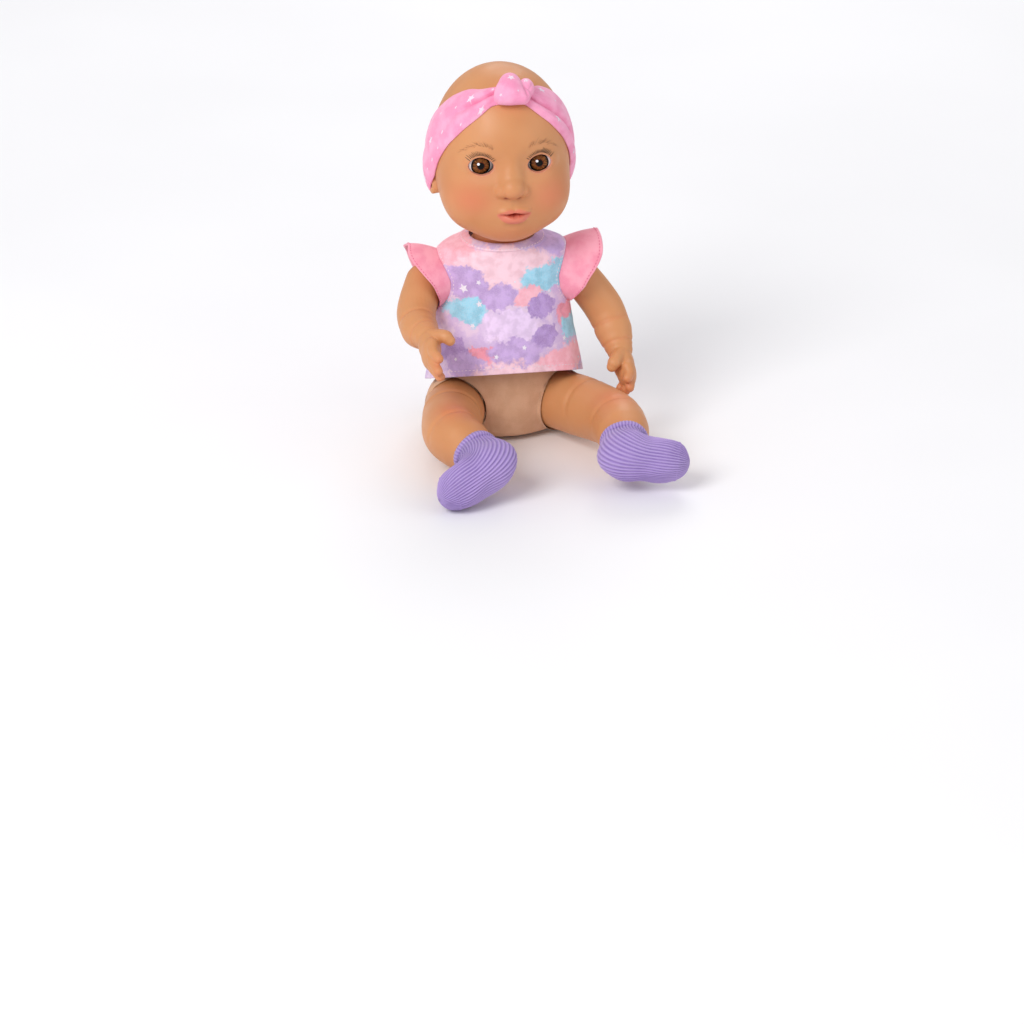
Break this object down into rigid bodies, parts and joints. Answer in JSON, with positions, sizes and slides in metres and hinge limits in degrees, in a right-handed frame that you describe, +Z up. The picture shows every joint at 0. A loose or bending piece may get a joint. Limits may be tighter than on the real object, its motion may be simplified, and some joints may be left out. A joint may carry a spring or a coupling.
{
  "type": "baby doll",
  "caption": "Seated soft-bodied baby doll with vinyl head, arms and legs, sleep eyes, a press-to-talk sound unit, knotted headband, A-line dress with flutter sleeves and knitted socks.",
  "frame": {"origin": "centre of the flat seat face, on the middle plane of the torso", "axes": "+Z up, the doll faces -Y, its own left side is +X"},
  "size_m": [0.1847, 0.2072, 0.2663],
  "materials": {
    "vinyl_skin": "soft matt vinyl",
    "eye_white": "polished",
    "eye_iris": "polished",
    "eye_lid": "satin",
    "steel": "bright",
    "holder_plastic": "matt",
    "body_cloth": "woven",
    "fibre_fill": "loose fibre",
    "tie_nylon": "matt",
    "case_plastic": "moulded",
    "button_plastic": "moulded",
    "board": "solder mask",
    "chip": "moulded",
    "paper_cone": "fibrous",
    "hook_loop": "hook-and-loop",
    "dress_print": "brushed jersey, cloudy print",
    "dress_binding": "jersey binding",
    "sleeve_pink": "brushed jersey",
    "band_pink": "jersey with small stars",
    "sock_knit": "ribbed knit"
  },
  "bodies": {
    "torso": {"case_screws": "steel", "battery_door_screw": "steel", "battery_cells": "steel", "battery_contacts": "steel", "button_spring": "steel", "speaker_magnet": "steel", "torso_cloth": "body_cloth", "torso_stuffing": "fibre_fill", "neck_tie": "tie_nylon", "arm_tie_right": "tie_nylon", "arm_tie_left": "tie_nylon", "leg_tie_right": "tie_nylon", "leg_tie_left": "tie_nylon", "sound_case_front": "case_plastic", "sound_case_rear": "case_plastic", "battery_door": "case_plastic", "slide_switch_base": "case_plastic", "speaker_frame": "case_plastic", "circuit_board": "board", "sound_chip": "chip", "push_switch": "chip", "speaker_cone": "paper_cone", "body_closure_loop": "hook_loop", "body_closure_hook": "hook_loop", "dress_closure_loop": "hook_loop", "dress_closure_hook": "hook_loop", "dress": "dress_print", "neck_binding": "dress_binding"},
    "head": {"head_shell": "vinyl_skin", "headband": "band_pink", "headband_knot": "band_pink", "eye_holder_right": "holder_plastic", "eye_holder_left": "holder_plastic"},
    "eye_right": {"eyeball_right": "eye_white", "iris_lens_right": "eye_iris", "eyelid_right": "eye_lid", "eye_weight_right": "steel"},
    "arm_right": {"arm_right": "vinyl_skin", "sleeve_right": "sleeve_pink"},
    "leg_right": {"leg_right": "vinyl_skin", "sock_right": "sock_knit", "sock_cuff_right": "sock_knit"},
    "eye_left": {"eyeball_left": "eye_white", "iris_lens_left": "eye_iris", "eyelid_left": "eye_lid", "eye_weight_left": "steel"},
    "arm_left": {"arm_left": "vinyl_skin", "sleeve_left": "sleeve_pink"},
    "leg_left": {"leg_left": "vinyl_skin", "sock_left": "sock_knit", "sock_cuff_left": "sock_knit"},
    "button": {"press_button": "button_plastic"},
    "switch_knob": {"slide_switch_knob": "chip"}
  },
  "joints": [
    {"name": "neck_turn", "type": "hinge", "parent": "torso", "child": "head", "pos_m": [0, -0.002, 0.139], "axis": [0, 0, 1], "range_deg": [-75, 75]},
    {"name": "eye_roll_right", "type": "hinge", "parent": "head", "child": "eye_right", "pos_m": [-0.02, -0.031, 0.2095], "axis": [1, 0, 0], "range_deg": [0, 78]},
    {"name": "eye_roll_left", "type": "hinge", "parent": "head", "child": "eye_left", "pos_m": [0.02, -0.031, 0.2095], "axis": [1, 0, 0], "range_deg": [0, 78]},
    {"name": "shoulder_swing_right", "type": "hinge", "parent": "torso", "child": "arm_right", "pos_m": [-0.054, 0, 0.112], "axis": [1, 0, 0], "range_deg": [-80, 15]},
    {"name": "shoulder_swing_left", "type": "hinge", "parent": "torso", "child": "arm_left", "pos_m": [0.054, 0, 0.112], "axis": [1, 0, 0], "range_deg": [-80, 45]},
    {"name": "hip_swing_right", "type": "hinge", "parent": "torso", "child": "leg_right", "pos_m": [-0.032, -0.008, 0.024], "axis": [1, 0, 0], "range_deg": [0, 80]},
    {"name": "hip_swing_left", "type": "hinge", "parent": "torso", "child": "leg_left", "pos_m": [0.032, -0.008, 0.024], "axis": [1, 0, 0], "range_deg": [0, 80]},
    {"name": "button_press", "type": "slide", "parent": "torso", "child": "button", "axis": [0, 1, 0], "range_m": [0, 0.0018], "stiffness_N_per_m": 400},
    {"name": "switch_slide", "type": "slide", "parent": "torso", "child": "switch_knob", "axis": [1, 0, 0], "range_m": [0, 0.0028]}
  ]
}
